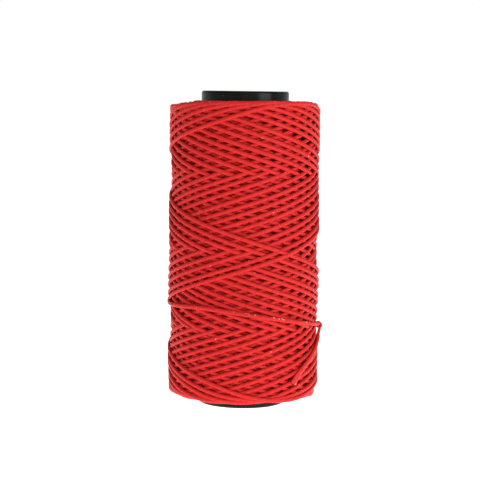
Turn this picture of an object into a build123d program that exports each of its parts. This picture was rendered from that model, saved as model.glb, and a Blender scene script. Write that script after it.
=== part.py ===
from build123d import *
import math
import os

# String reel: a plain black tube with one long red string cross-wound on it.
# Millimetres. The origin is the centre of the tube's lower rim, +Z runs up the tube's axis,
# and the hitch that ties off the string is on the +X side.

# ---- the tube ----
TUBE_LENGTH = 110.0
TUBE_OD = 30.6
TUBE_BORE = 25.4
RIM_ROUND = 0.8  # outer edge of both rims
BORE_BREAK = 0.4  # chamfer at both mouths of the bore

# ---- the string and how it is wound ----
STRING_D = 1.4
WOUND_OD = 52.4
LAYERS = 7  # full coverings of the tube, one over the other
WOUND_BOTTOM = 2.4  # where the winding starts and stops on the tube's own surface
WOUND_TOP = 106.8
END_SLOPE = 0.12  # how much each end of the winding draws in, per mm outwards
SHOULDER_ROUND = 1.3  # outer edges of the outermost layer

# ---- the start of the string: close turns that pin its inner end to the tube ----
START_TURNS = 3
START_HEIGHT = 9.0  # underside of the lowest close turn

# ---- the finish: one turn over the winding, a half hitch and the cut end ----
# Each route point is (angle in degrees from the front towards +X, height, distance from the axis).
LAID = WOUND_OD / 2 + STRING_D / 2 + 0.05  # axis to the middle of a string lying on the winding
TURN_STEP = 24.0  # degrees between the points of the finishing turn
CORNER = LAID / math.cos(math.radians(TURN_STEP / 2))  # so that its straight runs clear the winding
FINISHING_TURN = [
    (108, 99.2, CORNER),
    (132, 92.6, CORNER),
    (156, 81.8, CORNER),
    (180, 68.9, CORNER),
    (204, 55.6, CORNER),
    (228, 44.0, CORNER),
    (252, 36.9, CORNER),
    (276, 35.3, CORNER),
    (300, 35.6, CORNER),
    (324, 36.2, CORNER),
    (348, 35.4, CORNER),
    (372, 33.7, CORNER),
    (396, 31.9, CORNER),
    (420, 29.9, CORNER),
    (443, 28.5, 27.6),
]
STRING_END = [
    (88.5, 26.2, 27.7),
    (86.5, 23.6, 27.5),
    (80.0, 21.8, 27.2),
    (70.0, 19.6, 27.1),
    (60.5, 17.3, 27.15),
    (50.0, 13.9, 27.15),
    (42.0, 10.2, 27.1),
]
BEND = 0.45  # share of the shorter run beside a corner that its arc takes up

# ---- the knob that the half hitch makes ----
HITCH_ANGLE = 87.0
HITCH_HEIGHT = 27.5
HITCH_SIZE = (2.5, 4.6, 4.2)  # outwards, round the winding, upwards
HITCH_ROUND = 1.1
HITCH_CLEAR = 0.1  # between the knob and the winding below it


def at(angle, height, radius):
    """A point by its angle from the front towards +X, its height and its distance from the axis."""
    turn = math.radians(angle)
    return Vector(radius * math.sin(turn), -radius * math.cos(turn), height)


def laid_string(name, route):
    """A round string along straight runs joined by tangent arcs."""
    points = [at(*place) for place in route]
    radii = []
    for before, corner, after in zip(points, points[1:], points[2:]):
        run_in, run_out = corner - before, after - corner
        half_turn = math.radians(run_in.get_angle(run_out)) / 2
        radii.append(BEND * min(run_in.length, run_out.length) / math.tan(half_turn))
    path = FilletPolyline(*points, radius=radii)
    section = Plane(origin=path @ 0, z_dir=path % 0) * Circle(STRING_D / 2)
    string = sweep(section, path=path)
    nominal = math.pi * (STRING_D / 2) ** 2 * path.length
    print(name, "length", round(path.length, 1), "radii", [round(r, 1) for r in radii],
          "volume over nominal", round(string.volume / nominal, 4))
    return string


def ring(*profile):
    """A ring turned about the tube's axis from (radius, height) corners."""
    return revolve(Plane.XZ * make_face(Polyline(*profile, close=True)), axis=Axis.Z)


def circles(solid, low, high):
    """The round edges of a solid whose radius is between low and high."""
    return [e for e in solid.edges().filter_by(GeomType.CIRCLE) if low < e.radius < high]


def core_tube():
    standing = (Align.CENTER, Align.CENTER, Align.MIN)
    tube = Cylinder(TUBE_OD / 2, TUBE_LENGTH, align=standing)
    tube -= Cylinder(TUBE_BORE / 2, TUBE_LENGTH, align=standing)
    tube = fillet(circles(tube, TUBE_OD / 2 - 0.1, TUBE_OD / 2 + 0.1), RIM_ROUND)
    return chamfer(circles(tube, TUBE_BORE / 2 - 0.1, TUBE_BORE / 2 + 0.1), BORE_BREAK)


def start_turns():
    inner = TUBE_OD / 2
    outer = inner + STRING_D
    top = START_HEIGHT + START_TURNS * STRING_D
    return ring((inner, START_HEIGHT), (outer, START_HEIGHT), (outer, top), (inner, top))


def layer_bottom(radius):
    return WOUND_BOTTOM + END_SLOPE * (radius - TUBE_OD / 2)


def layer_top(radius):
    return WOUND_TOP - END_SLOPE * (radius - TUBE_OD / 2)


def winding_layer(number, bedded_over=None):
    """One full covering of the tube: a ring with sloping ends, bedded over what lies inside it."""
    build_up = (WOUND_OD - TUBE_OD) / 2 / LAYERS
    inner = TUBE_OD / 2 + build_up * (number - 1)
    outer = inner + build_up
    layer = ring(
        (inner, layer_bottom(inner)),
        (outer, layer_bottom(outer)),
        (outer, layer_top(outer)),
        (inner, layer_top(inner)),
    )
    if bedded_over:
        layer -= bedded_over
    if number == LAYERS:
        layer = fillet(circles(layer, outer - 0.1, outer + 0.1), SHOULDER_ROUND)
    return layer


def half_hitch(*through):
    """The rounded knob of the hitch, with the string's two sides passing into it."""
    outwards = at(HITCH_ANGLE, 0, 1)
    middle = at(HITCH_ANGLE, HITCH_HEIGHT, WOUND_OD / 2 + HITCH_CLEAR + HITCH_SIZE[0] / 2)
    knob = Box(*HITCH_SIZE)
    knob = fillet(knob.edges(), HITCH_ROUND)
    knob = Plane(origin=middle, x_dir=outwards, z_dir=(0, 0, 1)) * knob
    for string in through:
        knob -= string
    return knob


start = start_turns()
turn = laid_string("finishing_turn", FINISHING_TURN)
end = laid_string("string_end", STRING_END)
parts = {"core_tube": core_tube(), "start_turns": start}
for number in range(1, LAYERS + 1):
    parts[f"winding_layer_{number}"] = winding_layer(number, start if number == 1 else None)
parts["finishing_turn"] = turn
parts["half_hitch"] = half_hitch(turn, end)
parts["string_end"] = end

os.makedirs("parts", exist_ok=True)
for name, solid in parts.items():
    export_step(solid, f"parts/{name}.step")
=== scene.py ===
import math

import bpy
import numpy as np
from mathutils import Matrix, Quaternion, Vector


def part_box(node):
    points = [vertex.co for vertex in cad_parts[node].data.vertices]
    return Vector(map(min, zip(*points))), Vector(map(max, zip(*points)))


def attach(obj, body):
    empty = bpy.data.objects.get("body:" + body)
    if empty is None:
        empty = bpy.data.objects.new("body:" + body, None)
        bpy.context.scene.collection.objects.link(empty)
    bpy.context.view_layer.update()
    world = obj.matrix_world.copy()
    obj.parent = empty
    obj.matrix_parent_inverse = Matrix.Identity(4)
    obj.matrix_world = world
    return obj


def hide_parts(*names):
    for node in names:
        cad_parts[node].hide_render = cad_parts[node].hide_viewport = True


# A string reel: a black tube with one long red string cross-wound on it in seven nested layers,
# tied off by a turn, a half hitch and a short cut end. Metres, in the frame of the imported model.

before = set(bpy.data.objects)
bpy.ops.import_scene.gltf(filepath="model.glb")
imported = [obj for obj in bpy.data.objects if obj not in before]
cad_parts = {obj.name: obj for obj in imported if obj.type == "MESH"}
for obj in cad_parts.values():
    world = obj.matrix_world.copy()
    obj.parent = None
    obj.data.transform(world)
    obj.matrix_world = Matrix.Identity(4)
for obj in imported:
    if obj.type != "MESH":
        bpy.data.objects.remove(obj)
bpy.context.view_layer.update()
scene = bpy.context.scene
view_layer = bpy.context.view_layer
MM = 0.001


# ---------------------------------------------------------------- the camera

EYE = Vector((0, -0.590, 0.110))
AIM = Vector((-0.00117, 0, 0.05752))
FOCAL_PX = 1675.5  # focal length in pixels of a 480 px wide picture
LEAN = math.radians(0.8)  # the reel leans this far to the right in the picture

camera = bpy.data.objects.new("camera", bpy.data.cameras.new("camera"))
scene.collection.objects.link(camera)
camera.location = EYE
turned = (AIM - EYE).to_track_quat("-Z", "Y") @ Quaternion((0, 0, 1), LEAN)
camera.rotation_euler = turned.to_euler()
camera.data.sensor_width = 36.0
camera.data.lens = 36.0 * FOCAL_PX / 480.0
camera.data.clip_start = 0.01
camera.data.clip_end = 20.0
scene.camera = camera


# ---------------------------------------------------------------- how the string is wound

TUBE_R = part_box("core_tube")[1].x / MM
HALF_WIDE, HALF_THICK = 0.745, 0.53  # the soft string beds down flat under its own tension
PRESSED = 0.42  # half its thickness where one stretch presses on another
LAYERS = sum(name.startswith("winding_layer_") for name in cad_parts)
WOUND_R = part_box(f"winding_layer_{LAYERS}")[1].x / MM
LAYER_T = (WOUND_R - TUBE_R) / LAYERS
LOW_Z, HIGH_Z = (corner.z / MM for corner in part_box("winding_layer_1"))
END_SLOPE = (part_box(f"winding_layer_{LAYERS}")[0].z / MM - LOW_Z) / (LAYER_T * (LAYERS - 1))

ADVANCE = 53.5  # mm along the tube in one turn
CYCLE = 4 + 1 / 19.4  # turns up and down again
TRAVERSE = CYCLE / 2
PEAK_LOW, PEAK_HIGH = 1.2, 1.2 + ADVANCE * TRAVERSE  # where the straight runs would meet
LAST_PEAK = 45 / 360  # the last turn-round at the top, as a turn from the front
LEAVES = 108 / 360  # where the finishing turn leaves the winding
PEAKS = 270  # turn-rounds after the first one at the top
START_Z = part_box("start_turns")[1].z / MM - 0.6  # where the close turns end
START_TURNS, START_ADVANCE = 2.1, 1.45
SETS_OFF = 0.05  # turns before and after the last close turn over which it swings into its climb
rng = np.random.default_rng(10)

# How far inside the winding's ends its turn-rounds lie, in millimetres.
INSET, INSET_SPREAD, INSET_LIMITS = 0.75, 0.4, (-0.35, 1.0)
TOP_TILT, TOP_HIGH_SIDE = 1.1, math.radians(25)  # the top end slopes, and is highest at this angle
TOP_LEFT_DROP = 0.55  # and it is rounded off on the left
LOW_WAVE, LOW_WAVE_TURN = 0.25, 0.7  # the lower end is uneven
TIGHTEST_EASE = 0.04  # turns
WANDERS = ((0.2, 0.22), (0.22, 1.0))  # millimetres, and over how many turns


def smooth_noise(count, step, reach):
    """Seeded noise of unit size that varies over about this reach."""
    n = max(2, int(reach / step))
    raw = rng.standard_normal(count + 6 * n)
    t = np.arange(-3 * n, 3 * n + 1)
    kernel = np.exp(-0.5 * (t / n) ** 2)
    kernel /= np.sqrt((kernel**2).sum())
    return np.convolve(raw, kernel, "same")[3 * n : 3 * n + count]


STEP = 1 / 240  # turns between the points that are settled
first_turn = -PEAKS * TRAVERSE - (PEAK_HIGH - START_Z) / ADVANCE  # where the first climb begins
last_turn = LEAVES - LAST_PEAK
count = int(round((last_turn - first_turn + START_TURNS) / STEP)) + 1
turns = first_turn - START_TURNS + np.arange(count) * STEP  # 0 at the last turn-round
angle = 2 * math.pi * (turns + LAST_PEAK)
grown = np.clip((turns - first_turn) / (last_turn - first_turn), 0, 1)
radius_now = TUBE_R + (WOUND_R - TUBE_R) * grown  # the package's outside as it grows

peak = np.rint(turns / TRAVERSE).astype(int)  # the nearest turn-round
peak_turn = peak * TRAVERSE
peak_angle = 2 * math.pi * (peak_turn + LAST_PEAK)
is_top = peak % 2 == 0
SPARE = 4  # draws for turn-rounds beyond the first and the last
drawn = np.clip(rng.normal(0, INSET_SPREAD, PEAKS + 2 * SPARE), *INSET_LIMITS)
scatter = drawn[peak + PEAKS + SPARE]
edge = END_SLOPE * (radius_now - TUBE_R) + INSET + scatter
top_edge = HIGH_Z - edge + TOP_TILT * grown * np.cos(peak_angle - TOP_HIGH_SIDE)
top_edge -= TOP_LEFT_DROP * grown * np.clip(-np.sin(peak_angle), 0, 1) ** 4
low_wave = np.sin(peak_angle) + np.cos(2 * peak_angle + LOW_WAVE_TURN)
low_edge = LOW_Z + edge - LOW_WAVE * grown * low_wave
short = np.where(is_top, PEAK_HIGH - top_edge, low_edge - PEAK_LOW)  # of where they would meet
ease = np.maximum(2 * short / ADVANCE, TIGHTEST_EASE)  # turns over which it swings round
away = np.abs(turns - peak_turn)
depth = np.where(away < ease, ADVANCE * (away**2 / (2 * ease) + ease / 2), ADVANCE * away)
height = np.where(is_top, PEAK_HIGH - depth, PEAK_LOW + depth)
wander = sum(size * smooth_noise(count, STEP, reach) for size, reach in WANDERS)
height += np.clip(away / ease - 0.4, 0, 1) * wander  # none where it turns round
gone = turns - first_turn
swing = (ADVANCE - START_ADVANCE) * (gone + SETS_OFF) ** 2 / (4 * SETS_OFF)
start_line = START_Z + START_ADVANCE * gone + np.where(gone > -SETS_OFF, swing, 0)
height = np.where(gone < SETS_OFF, start_line, height)


# ---------------------------------------------------------------- how high it lies

ROWS_MM, MAP_TOP = 0.2, 112
COLS = 720
rows = int(MAP_TOP / ROWS_MM)
top_of = np.full((COLS, rows), TUBE_R)  # the surface so far, round and along the tube
row_z = (np.arange(rows) + 0.5) * ROWS_MM
ACROSS = np.linspace(-0.95, 0.95, 9)  # places across the string, as parts of its half width
BEDDING = PRESSED * np.sqrt(1 - ACROSS**2)
FINE = np.linspace(-0.97, 0.97, 13)
CROWN = PRESSED * np.sqrt(1 - FINE**2)
SUNK, PROUD = 1.6, 0.1  # how far inside and outside the package's mean surface it may lie
PROUD_OF_TUBE = 1.2  # the same for the first covering, from the tube
FOLLOWS = 0.905  # share of the tube's curvature that a string at this angle follows
CHUNK, TAIL, AHEAD = 120, 40, 50  # points settled at once, and looked at before and after them
CHUNKS_PER_TRIM = 4
TRIMMED_TO = 0.5  # mm outside the package's mean surface
TRIM_ROWS = 15  # rows that a trim smooths over


def cells(a, z):
    return (
        np.rint(a / (2 * math.pi) * COLS).astype(int) % COLS,
        np.clip((z / ROWS_MM).astype(int), 0, rows - 1),
    )


def cells_beside(a, z, r, lean, offset):
    """The cells under a line that runs this far beside the string's middle."""
    return cells(a - offset * np.sin(lean) / r, z + offset * np.cos(lean))


def lean_of(h, r):
    """Angle of the string's line to the horizontal."""
    return np.arctan2(np.gradient(h), r * 2 * math.pi * STEP)


def stretched(s, support, bend):
    """The line that a taut string takes over these supports on a curved surface."""
    flat = support - s * s * bend / 2
    hull = []
    for i in range(len(s)):
        while len(hull) > 1:
            a, b = hull[-2], hull[-1]
            if (flat[b] - flat[a]) * (s[i] - s[a]) <= (flat[i] - flat[a]) * (s[b] - s[a]):
                hull.pop()
            else:
                break
        hull.append(i)
    return np.interp(s, s[hull], flat[hull]) + s * s * bend / 2


def supports(a, z, r, lean):
    """How far from the axis the string's middle would lie if it bedded down everywhere."""
    best = np.full(len(a), TUBE_R)
    for offset, lift in zip(ACROSS * HALF_WIDE, BEDDING):
        best = np.maximum(best, top_of[cells_beside(a, z, r, lean, offset)] + lift)
    lowest = np.maximum(r - SUNK, TUBE_R + HALF_THICK)
    return np.clip(best, lowest, np.maximum(r + PROUD, TUBE_R + PROUD_OF_TUBE))


def add_to_surface(a, z, r, lean):
    for offset, lift in zip(FINE * HALF_WIDE, CROWN):
        np.maximum.at(top_of, cells_beside(a, z, r, lean, offset), r + lift)


def trimmed(surface, outside):
    """The surface, pressed down in every row that has grown past the package's outside."""
    most = np.quantile(surface[::3], 0.95, axis=0)
    kernel = np.ones(TRIM_ROWS) / TRIM_ROWS
    most = np.convolve(np.pad(most, TRIM_ROWS // 2, "edge"), kernel, "valid")
    face = TUBE_R + np.minimum(row_z - LOW_Z, HIGH_Z - row_z) / END_SLOPE
    wanted = np.clip(np.minimum(outside, face) + TRIMMED_TO, TUBE_R, None)
    return np.maximum(surface - np.clip(most - wanted, 0, None), TUBE_R)


slope_all = lean_of(height, radius_now)
lies_at = np.zeros(count)
index = np.arange(count)
waiting = None  # the last stretch goes on the surface only when the next one is settled
for begin in range(0, count, CHUNK):
    low, end = max(0, begin - TAIL), min(count, begin + CHUNK)
    high = min(count, begin + CHUNK + AHEAD)
    a, z, r, lean = angle[low:high], height[low:high], radius_now[low:high], slope_all[low:high]
    support = supports(a, z, r, lean)
    fixed = begin - low
    support[:fixed] = lies_at[low:begin]
    run = np.concatenate(([0], np.cumsum(r[1:] * 2 * math.pi * STEP / np.cos(lean[1:]))))
    run -= run[len(run) // 2]
    lies_at[begin:end] = stretched(run, support, FOLLOWS / r.mean())[fixed : fixed + end - begin]
    if waiting is not None:
        add_to_surface(*waiting)
    between = np.arange(begin, end - 1) + 0.5
    twice = np.sort(np.concatenate((np.arange(begin, end, dtype=float), between)))
    waiting = tuple(
        np.interp(twice, index[begin:end], values[begin:end])
        for values in (angle, height, lies_at, slope_all)
    )
    if (begin // CHUNK) % CHUNKS_PER_TRIM == CHUNKS_PER_TRIM - 1:
        top_of = trimmed(top_of, radius_now[end - 1])


# The winding isn't quite round: heights, and how much further out it stands there, in millimetres.
FULL_RIGHT = (5, 8, 11, 18, 26, 34, 58, 68), (0.6, 0.9, 0.5, 0.6, 0.1, 0.45, 0.75, 0.1)
FULL_LEFT = (8, 20, 76, 85, 92), (-0.4, 0, 0, 0.4, 0)


def fuller(a, z):
    """How much further out the finished winding stands at this angle and height."""
    right = np.clip(np.sin(a), 0, 1) * np.interp(z, *FULL_RIGHT)
    return right + np.clip(-np.sin(a), 0, 1) * np.interp(z, *FULL_LEFT)


lies_at += grown * fuller(angle, height)


# ---------------------------------------------------------------- materials

def new_material(name):
    material = bpy.data.materials.new(name)
    material.use_nodes = True
    nodes = material.node_tree.nodes
    nodes.clear()
    out = nodes.new("ShaderNodeOutputMaterial")
    shader = nodes.new("ShaderNodeBsdfPrincipled")
    material.node_tree.links.new(shader.outputs[0], out.inputs[0])
    return material, nodes, material.node_tree.links, shader


def feed(tree, sockets, values):
    """Give each socket a number, a colour or another node's output."""
    for socket, value in zip(sockets, values):
        if isinstance(value, (int, float)):
            socket.default_value = value
        elif isinstance(value, tuple):
            socket.default_value = (*value, 1)
        else:
            tree.links.new(value, socket)


def math_node(tree, operation, *values):
    node = tree.nodes.new("ShaderNodeMath")
    node.operation = operation
    feed(tree, node.inputs, values)
    return node.outputs[0]


def vector_node(tree, *values):
    node = tree.nodes.new("ShaderNodeCombineXYZ")
    feed(tree, node.inputs, values)
    return node.outputs[0]


def noise_node(tree, vector, scale, detail=2.0, rough=0.5):
    node = tree.nodes.new("ShaderNodeTexNoise")
    node.inputs["Scale"].default_value = scale
    node.inputs["Detail"].default_value = detail
    node.inputs["Roughness"].default_value = rough
    tree.links.new(vector, node.inputs["Vector"])
    return node.outputs["Fac"]


def ramp_node(tree, factor, *stops):
    node = tree.nodes.new("ShaderNodeValToRGB")
    ramp = node.color_ramp
    while len(ramp.elements) < len(stops):
        ramp.elements.new(0.5)
    for element, (position, color) in zip(ramp.elements, stops):
        element.position = position
        element.color = (*color, 1)
    tree.links.new(factor, node.inputs["Fac"])
    return node.outputs["Color"]


def mix_node(tree, kind, factor, a, b):
    node = tree.nodes.new("ShaderNodeMix")
    node.data_type = "RGBA"
    node.blend_type = kind
    for_colors = node.inputs[0], node.inputs[6], node.inputs[7]
    feed(tree, for_colors, (factor, a, b))
    return node.outputs[2]


def specks(tree, coords, share, per_metre, largest):
    """1 on small scattered specks and 0 between them.

    They are in this share of the cells of a Voronoi pattern with so many cells per metre, and
    the largest has this radius, as a part of a cell.
    """
    pattern = tree.nodes.new("ShaderNodeTexVoronoi")
    pattern.inputs["Scale"].default_value = per_metre
    tree.links.new(coords, pattern.inputs["Vector"])
    drawn = tree.nodes.new("ShaderNodeSeparateColor")
    tree.links.new(pattern.outputs["Color"], drawn.inputs[0])
    size = math_node(tree, "MULTIPLY_ADD", drawn.outputs[1], 0.6 * largest, 0.4 * largest)
    inside = math_node(tree, "LESS_THAN", pattern.outputs["Distance"], size)
    chosen = math_node(tree, "LESS_THAN", drawn.outputs[0], share)
    return math_node(tree, "MULTIPLY", inside, chosen)


def bump_node(tree, shader, height, strength, distance):
    node = tree.nodes.new("ShaderNodeBump")
    node.inputs["Strength"].default_value = strength
    node.inputs["Distance"].default_value = distance
    tree.links.new(height, node.inputs["Height"])
    tree.links.new(node.outputs["Normal"], shader.inputs["Normal"])


PLY_PITCH = 5.2  # mm along the string in which its two plies go once round
DEEP_RED, BRIGHT_RED = (0.58, 0.012, 0.011), (0.735, 0.033, 0.029)
# The second of these darkens the red as painted shade in the grooves between the plies.
DULLED, PAINTED_GROOVE_SHADE, CLEAR = (0.86, 0.84, 0.84), (0.92, 0.88, 0.88), (1.0, 1.0, 1.0)  # times the red
# Crumbs of wax: their pale colour is partly a painted glint on them.
WAX_AND_PAINTED_GLINT, WAX_AND_GLINT_COVERS = (0.86, 0.56, 0.48), 0.7
DUST, DUST_COVERS = (0.30, 0.28, 0.26), 0.5


def string_material(name, share, per_metre, largest, upper_edge_glints_only=False):
    """Red two-ply string, waxed: twisted fibres, faint grooves with painted shade, and pale wax
    crumbs that are partly painted glints.
    """
    material, nodes, links, shader = new_material(name)
    tree = material.node_tree
    shader.inputs["Roughness"].default_value = 0.5
    shader.inputs["Specular IOR Level"].default_value = 0.14
    place = nodes.new("ShaderNodeAttribute")
    place.attribute_name = "place"  # cosine and sine round the string, millimetres along it
    parts = nodes.new("ShaderNodeSeparateXYZ")
    links.new(place.outputs["Vector"], parts.inputs[0])
    outward_cos, outward_sin, along = parts.outputs
    twist = math_node(tree, "MULTIPLY", along, 2 * math.pi / PLY_PITCH)
    round_it = math_node(tree, "ARCTAN2", outward_sin, outward_cos)
    turned = math_node(tree, "SUBTRACT", round_it, twist)
    lobes = math_node(tree, "COSINE", math_node(tree, "MULTIPLY", turned, 2.0))
    groove = math_node(tree, "MULTIPLY_ADD", lobes, 0.5, 0.5)
    fibres = noise_node(tree, vector_node(
        tree,
        math_node(tree, "MULTIPLY", math_node(tree, "COSINE", turned), 2.6),
        math_node(tree, "MULTIPLY", math_node(tree, "SINE", turned), 2.6),
        math_node(tree, "MULTIPLY", along, 0.22),
    ), scale=1.6, detail=3.0, rough=0.6)
    far_along = math_node(tree, "MULTIPLY", along, 0.045)
    stretches = noise_node(tree, vector_node(tree, far_along), scale=1.0)
    red = ramp_node(tree, fibres, (0.3, DEEP_RED), (0.7, BRIGHT_RED))
    dulled = ramp_node(tree, stretches, (0.3, DULLED), (0.7, CLEAR))
    # Painted shade: the red is darkened in the grooves between the plies.
    painted_groove_shade = ramp_node(tree, groove, (0.0, PAINTED_GROOVE_SHADE), (0.4, CLEAR))
    red = mix_node(tree, "MULTIPLY", 1.0, mix_node(tree, "MULTIPLY", 1.0, red, dulled), painted_groove_shade)
    coords = nodes.new("ShaderNodeTexCoord").outputs["Object"]
    crumb_and_glint = specks(tree, coords, share, per_metre, largest)
    # On the finishing turn the pale specks keep to the string's upper edge, as painted glints where
    # the light catches it.
    if upper_edge_glints_only:
        in_patch = math_node(tree, "GREATER_THAN", noise_node(tree, coords, scale=90), 0.5)
        at_edge = math_node(tree, "LESS_THAN", outward_cos, -0.15)
        crumb_and_glint = math_node(tree, "MULTIPLY", math_node(tree, "MULTIPLY", crumb_and_glint, in_patch), at_edge)
    color = mix_node(tree, "MIX", math_node(tree, "MULTIPLY", crumb_and_glint, WAX_AND_GLINT_COVERS), red, WAX_AND_PAINTED_GLINT)
    links.new(color, shader.inputs["Base Color"])
    relief = math_node(tree, "ADD", math_node(tree, "MULTIPLY", groove, 0.7),
                       math_node(tree, "MULTIPLY", fibres, 0.8))
    bump_node(tree, shader, relief, strength=0.3, distance=0.12 * MM)
    return material


def tube_material():
    """Black extruded plastic, satin: faint marks along it, uneven from handling, and dust."""
    material, nodes, links, shader = new_material("black_tube_plastic")
    tree = material.node_tree
    shader.inputs["Specular IOR Level"].default_value = 0.15
    coords = nodes.new("ShaderNodeTexCoord").outputs["Object"]
    drawn_out = nodes.new("ShaderNodeMapping")
    drawn_out.inputs["Scale"].default_value = (1, 1, 0.03)
    links.new(coords, drawn_out.inputs["Vector"])
    marks = noise_node(tree, drawn_out.outputs[0], scale=1400, detail=3.0, rough=0.6)
    patches = noise_node(tree, coords, scale=260, detail=4.0)
    black = ramp_node(tree, patches, (0.0, (0.001, 0.003, 0.001)), (1.0, (0.003, 0.006, 0.004)))
    dust = specks(tree, coords, share=0.05, per_metre=1300, largest=0.2)
    covered = math_node(tree, "MULTIPLY", dust, DUST_COVERS)
    links.new(mix_node(tree, "MIX", covered, black, DUST), shader.inputs["Base Color"])
    handled = noise_node(tree, coords, scale=70, detail=3.0)
    links.new(math_node(tree, "MULTIPLY_ADD", handled, 0.16, 0.12), shader.inputs["Roughness"])
    bump_node(tree, shader, marks, strength=0.15, distance=0.03 * MM)
    return material


STRING = string_material("waxed_red_string", share=0.014, per_metre=1000, largest=0.22)
# The finishing turn's string: its pale specks are wax crumbs, partly painted as glints, along its
# upper edge.
CRUMBLY_STRING_WITH_GLINTS = string_material("waxed_red_string_with_crumbs_and_painted_glints", share=1.0, per_metre=1300,
                                 largest=0.34, upper_edge_glints_only=True)
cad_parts["core_tube"].data.materials.clear()
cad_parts["core_tube"].data.materials.append(tube_material())


# ---------------------------------------------------------------- the string's pieces

def around(a, z, r):
    """A point by its angle from the front towards +X, its height and its distance from the axis."""
    return np.stack((r * np.sin(a), -r * np.cos(a), z), -1) * MM


def route_line(points, resolution):
    """Points along the smooth NURBS line that has these as its control points."""
    curve = bpy.data.curves.new("route", "CURVE")
    curve.dimensions = "3D"
    spline = curve.splines.new("NURBS")
    spline.points.add(len(points) - 1)
    spline.points.foreach_set("co", np.column_stack((points, np.ones(len(points)))).ravel())
    spline.order_u = 3
    spline.use_endpoint_u = True
    spline.resolution_u = resolution
    holder = bpy.data.objects.new("route", curve)
    scene.collection.objects.link(holder)
    view_layer.update()
    mesh = bpy.data.meshes.new_from_object(holder)
    line = np.zeros(len(mesh.vertices) * 3)
    mesh.vertices.foreach_get("co", line)
    bpy.data.objects.remove(holder)
    bpy.data.curves.remove(curve)
    bpy.data.meshes.remove(mesh)
    return line.reshape(-1, 3)


def string_tube(name, line, sides, half_wide, half_thick, lobes=0.0):
    """A two-ply string along a line, a little flattened against the tube that it is wound on."""
    ahead = np.gradient(line, axis=0)
    ahead /= np.linalg.norm(ahead, axis=1)[:, None]
    out = line * (1, 1, 0)
    out /= np.linalg.norm(out, axis=1)[:, None]
    out -= (out * ahead).sum(1)[:, None] * ahead
    out /= np.linalg.norm(out, axis=1)[:, None]
    return tube_mesh(name, line, ahead, out, sides, half_wide, half_thick, lobes)


def tube_mesh(name, line, ahead, out, sides, half_wide, half_thick, lobes):
    """The string's mesh along a line with these directions ahead and outwards, flat side out."""
    side = np.cross(ahead, out)
    run = np.concatenate(([0], np.cumsum(np.linalg.norm(np.diff(line, axis=0), axis=1)))) / MM
    turn = np.linspace(0, 2 * math.pi, sides, endpoint=False) + math.pi / sides
    ply = 1 + lobes * np.cos(2 * (turn[None, :] - 2 * math.pi * run[:, None] / PLY_PITCH))
    wide = np.broadcast_to(half_wide, len(line))[:, None] * MM * np.cos(turn)[None, :] * ply
    thick = np.broadcast_to(half_thick, len(line))[:, None] * MM * np.sin(turn)[None, :] * ply
    rings = (line[:, None, :] + wide[..., None] * side[:, None, :]
             + thick[..., None] * out[:, None, :])
    ring = np.arange(sides)
    following = (ring + 1) % sides
    base = (np.arange(len(line) - 1) * sides)[:, None]
    corners = base + ring, base + following, base + sides + following, base + sides + ring
    quads = np.stack(corners, -1)
    ends = np.concatenate((ring[::-1], (len(line) - 1) * sides + ring))
    faces = quads.size // 4
    mesh = bpy.data.meshes.new(name)
    mesh.vertices.add(len(line) * sides)
    mesh.vertices.foreach_set("co", rings.reshape(-1))
    mesh.loops.add(quads.size + 2 * sides)
    mesh.loops.foreach_set("vertex_index", np.concatenate((quads.ravel(), ends)))
    mesh.polygons.add(faces + 2)
    starts = np.concatenate((np.arange(faces) * 4, [quads.size, quads.size + sides]))
    mesh.polygons.foreach_set("loop_start", starts)
    mesh.polygons.foreach_set("use_smooth", np.ones(faces + 2, bool))
    mesh.update(calc_edges=True)
    mesh.validate()
    place = np.broadcast_arrays(np.cos(turn)[None, :], np.sin(turn)[None, :], run[:, None])
    attribute = mesh.attributes.new("place", "FLOAT_VECTOR", "POINT")
    attribute.data.foreach_set("vector", np.stack(place, -1).reshape(-1))
    mesh.materials.append(STRING)
    piece = bpy.data.objects.new(name, mesh)
    scene.collection.objects.link(piece)
    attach(piece, "root")
    return piece


def laid(name, begin, finish, per_turn, resolution, sides, node):
    """The stretch of string between two turns, as a tube along its own smooth line."""
    at = np.linspace(begin, finish, int((finish - begin) * per_turn) + 1)
    # A NURBS circle lies this far within its points.
    inside = (6 + 2 * math.cos(2 * math.pi / per_turn)) / 8
    control = around(
        np.interp(at, turns, angle),
        np.interp(at, turns, height),
        np.interp(at, turns, lies_at) / inside,
    )
    line = route_line(control, resolution)
    piece = string_tube(name, line, sides, HALF_WIDE, HALF_THICK)
    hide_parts(node)


# Points to a turn, steps between them and sides: the covered layers are coarser.
OUTERMOST, NEXT, DEEPER = (40, 3, 8), (30, 3, 8), (24, 3, 6)
laid("string_start", turns[0], first_turn, *OUTERMOST, "start_turns")
each = (last_turn - first_turn) / LAYERS
for layer in range(1, LAYERS + 1):
    detail = {LAYERS: OUTERMOST, LAYERS - 1: NEXT}.get(layer, DEEPER)
    laid(f"string_layer_{layer}", first_turn + each * (layer - 1), first_turn + each * layer,
         *detail, f"winding_layer_{layer}")

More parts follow.
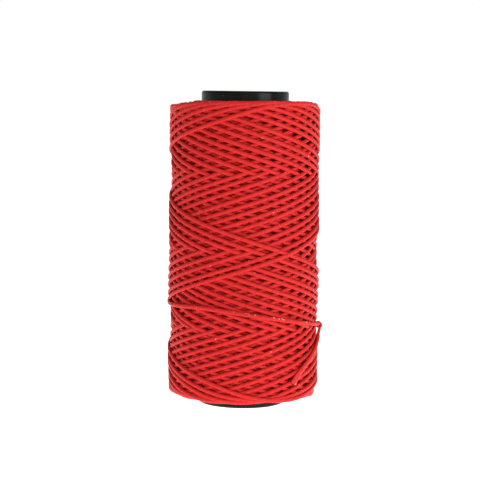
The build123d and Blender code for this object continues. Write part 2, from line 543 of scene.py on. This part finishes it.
# Angle from the front in degrees, height and distance from the axis.
FINISHING_TURN = [
    (108, 99.9, 26.1), (118, 98.2, 26.7), (132, 93.4, 27.3), (156, 82.0, 27.4), (180, 68.9, 27.3),
    (204, 55.6, 27.0), (228, 44.0, 27.2), (252, 36.9, 27.0), (276, 35.3, 26.6), (300, 35.6, 26.9),
    (324, 36.2, 27.0), (348, 35.4, 27.0), (372, 33.7, 27.0), (396, 31.9, 27.0), (420, 29.9, 27.0),
    (443, 28.5, 26.9),
]
STRING_END = [
    (447.8, 28.2, 27.0), (449.2, 26.9, 27.55), (447.4, 25.4, 27.0), (443.6, 23.6, 26.7),
    (436.4, 21.8, 26.85), (424.0, 18.4, 26.85), (413.0, 15.4, 26.85), (405.4, 12.6, 26.75),
    (401.4, 9.9, 26.6),
]
HITCH = (447.0, 28.0, 27.15)
HITCH_ANGLE = math.radians(HITCH[0])
HITCH_MIDDLE = around(HITCH_ANGLE, HITCH[1], HITCH[2])
FREE_FROM_END, FREE_REACH = 24.4, 1.8  # mm from the cut end, where nothing presses on the string
SLACK_FROM_END, CUT_REACH = 22, 6  # mm from the cut end: not pulled tight, and untwisted
SQUEEZED_REACH = 1.6  # mm from the hitch, which narrows the string
LOBES = 0.03  # how much the plies stand out

route = np.array(FINISHING_TURN + STRING_END)
route_angle = np.radians(route[:, 0])
route_radius = route[:, 2] + fuller(route_angle, route[:, 1])
turn_line = route_line(around(route_angle, route[:, 1], route_radius), 30)
to_end = np.linalg.norm(np.diff(turn_line, axis=0), axis=1)[::-1].cumsum()[::-1] / MM
to_end = np.append(to_end, 0)
slack = np.clip((SLACK_FROM_END - to_end) / CUT_REACH, 0, 1)
loosened = np.clip(1 - to_end / CUT_REACH, 0, 1)
free = np.exp(-(((to_end - FREE_FROM_END) / FREE_REACH) ** 2))
from_hitch = np.linalg.norm(turn_line - HITCH_MIDDLE, axis=1)
squeezed = np.exp(-((from_hitch / (SQUEEZED_REACH * MM)) ** 2))
turn_piece = string_tube(
    "finishing_turn_and_end", turn_line, 16,
    HALF_WIDE * (1 + 0.35 * slack + 0.5 * loosened - 0.22 * squeezed),
    HALF_THICK * (1 - 0.15 * loosened + 0.35 * free),
    LOBES,
)
turn_piece.data.materials[0] = CRUMBLY_STRING_WITH_GLINTS
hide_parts("finishing_turn", "string_end")

# The half hitch: the string goes once round itself, with its ends tucked in behind.
KNOT_R, KNOT_WIDE, KNOT_THICK = 0.78, 0.75, 0.5
KNOT_WITHIN = 0.96  # a NURBS loop of these points lies this far within them
KNOT_STEP = 0.5  # mm that its ends lie to either side of its middle


def knot_piece():
    """A short stretch of string pulled flat round the hitch."""
    turn = np.radians(np.linspace(-190, 190, 17))
    reach = KNOT_R / KNOT_WITHIN
    line = route_line(around(
        HITCH_ANGLE + KNOT_STEP * turn / turn[-1] / HITCH[2],
        HITCH[1] - reach * np.sin(turn),
        HITCH[2] + reach * (np.cos(turn) + 0.3 * np.sin(turn)),
    ), 12)
    ahead = np.gradient(line, axis=0)
    ahead /= np.linalg.norm(ahead, axis=1)[:, None]
    out = line - HITCH_MIDDLE
    out -= (out * ahead).sum(1)[:, None] * ahead
    out /= np.linalg.norm(out, axis=1)[:, None]
    return tube_mesh("half_hitch_loop", line, ahead, out, 16, KNOT_WIDE, KNOT_THICK, LOBES)


knot = knot_piece()
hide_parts("half_hitch")


# ---------------------------------------------------------------- floor and light

FLOOR_HALF, FLOOR_Z = 9, -0.0002
# The floor glows evenly everywhere, and a painted pool of light is added round the reel.
FLOOR_GLOW, PAINTED_LIGHT_POOL, PAINTED_POOL_R = 0.81, 0.73, 0.12  # everywhere, added at the reel, and its reach
STUDIO_LENDS = 0.395
REEL_MIDDLE = Vector((0, 0, 0.055))


def floor_mesh():
    mesh = bpy.data.meshes.new("floor")
    signs = (-1, -1), (1, -1), (1, 1), (-1, 1)
    corners = [(x * FLOOR_HALF, y * FLOOR_HALF, FLOOR_Z) for x, y in signs]
    mesh.from_pydata(corners, [], [(0, 1, 2, 3)])
    return mesh


def floor_material():
    """White all over, and brightest round the reel, where a painted pool of light is added."""
    material, nodes, links, shader = new_material("pale_floor_with_painted_light_pool")
    tree = material.node_tree
    shader.inputs["Base Color"].default_value = (0.9, 0.9, 0.9, 1)
    shader.inputs["Roughness"].default_value = 0.8
    shader.inputs["Specular IOR Level"].default_value = 0.0
    shader.inputs["Emission Color"].default_value = (1, 1, 1, 1)
    from_reel = nodes.new("ShaderNodeVectorMath")
    from_reel.operation = "LENGTH"
    links.new(nodes.new("ShaderNodeTexCoord").outputs["Object"], from_reel.inputs[0])
    # A painted pool of light: the floor's glow grows towards the reel and fills its shadow.
    reach = math_node(tree, "DIVIDE", from_reel.outputs["Value"], PAINTED_POOL_R)
    falls_off = math_node(tree, "ADD", math_node(tree, "POWER", reach, 2.0), 1.0)
    painted_pool = math_node(tree, "DIVIDE", PAINTED_LIGHT_POOL, falls_off)
    links.new(math_node(tree, "ADD", FLOOR_GLOW, painted_pool), shader.inputs["Emission Strength"])
    return material


def studio_world():
    """White walls where the camera sees them, which lend a dimmer light."""
    world = bpy.data.worlds.new("studio")
    world.use_nodes = True
    nodes, links = world.node_tree.nodes, world.node_tree.links
    nodes.clear()
    seen, lends = nodes.new("ShaderNodeBackground"), nodes.new("ShaderNodeBackground")
    seen.inputs["Color"].default_value = lends.inputs["Color"].default_value = (1, 1, 1, 1)
    lends.inputs["Strength"].default_value = STUDIO_LENDS
    path, mix = nodes.new("ShaderNodeLightPath"), nodes.new("ShaderNodeMixShader")
    out = nodes.new("ShaderNodeOutputWorld")
    links.new(path.outputs["Is Camera Ray"], mix.inputs[0])
    links.new(lends.outputs[0], mix.inputs[1])
    links.new(seen.outputs[0], mix.inputs[2])
    links.new(mix.outputs[0], out.inputs[0])
    return world


def lamp(name, kind, place, **settings):
    light = bpy.data.lights.new(name, kind)
    for key, value in settings.items():
        setattr(light, key, value)
    holder = bpy.data.objects.new(name, light)
    scene.collection.objects.link(holder)
    holder.location = place
    holder.rotation_euler = (REEL_MIDDLE - Vector(place)).to_track_quat("-Z", "Y").to_euler()


floor = bpy.data.objects.new("floor", floor_mesh())
floor.data.materials.append(floor_material())
scene.collection.objects.link(floor)
scene.world = studio_world()
lamp("overhead", "SUN", (0, 0, 1.0), energy=0.23, angle=math.radians(60))
lamp("key", "SUN", (0.4, -0.9, 0.3), energy=0.48, angle=math.radians(70))
lamp("softbox", "AREA", (0.8, -0.6, 0.12), shape="RECTANGLE", size=0.6, size_y=0.9, energy=6.1,
     color=(0.84, 0.97, 1.0))
scene.view_settings.view_transform = "Standard"
